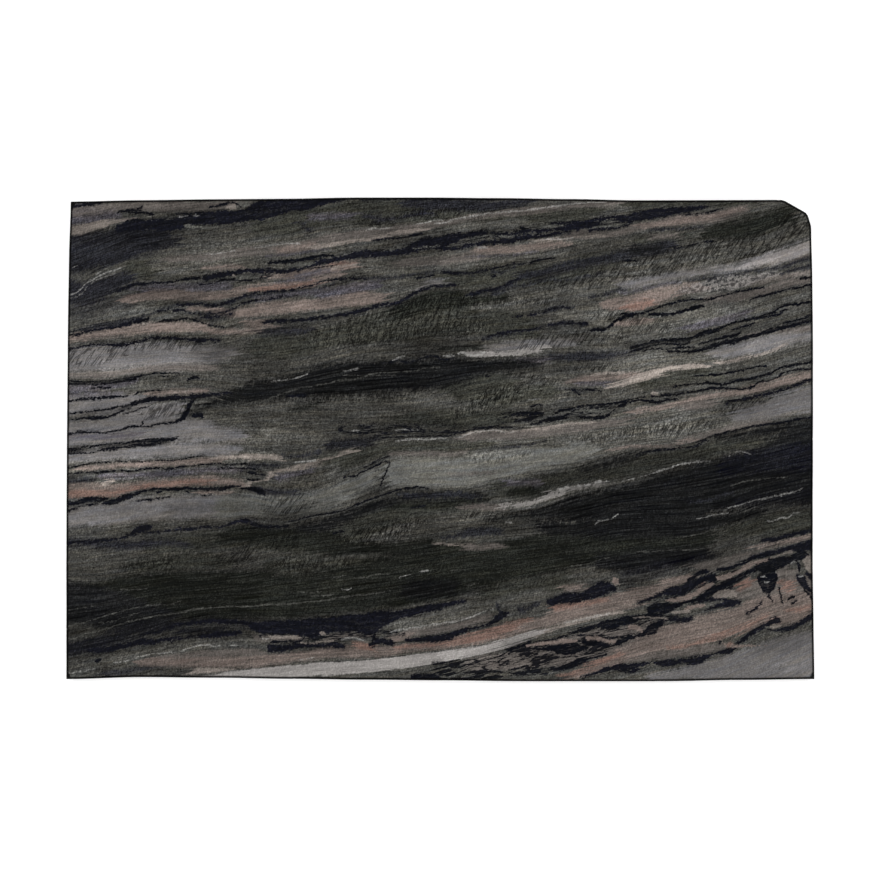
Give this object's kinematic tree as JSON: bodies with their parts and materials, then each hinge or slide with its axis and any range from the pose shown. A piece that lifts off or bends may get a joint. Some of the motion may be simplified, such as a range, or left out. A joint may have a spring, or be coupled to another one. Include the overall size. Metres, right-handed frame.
{
  "type": "quartzite slab",
  "caption": "Full-size raw slab of banded quartzite: polished face, sawn back, wire-sawn flanks and one cropped corner.",
  "frame": {"origin": "on the sawn back, under the middle of the slab's bounding box", "axes": "+X along the long side, +Y across it, +Z out of the polished face"},
  "size_m": [3.0503, 1.9729, 0.03],
  "materials": {
    "quartzite": "polished face, sawn back and flanks"
  },
  "bodies": {
    "root": {"slab": "quartzite"}
  },
  "joints": []
}
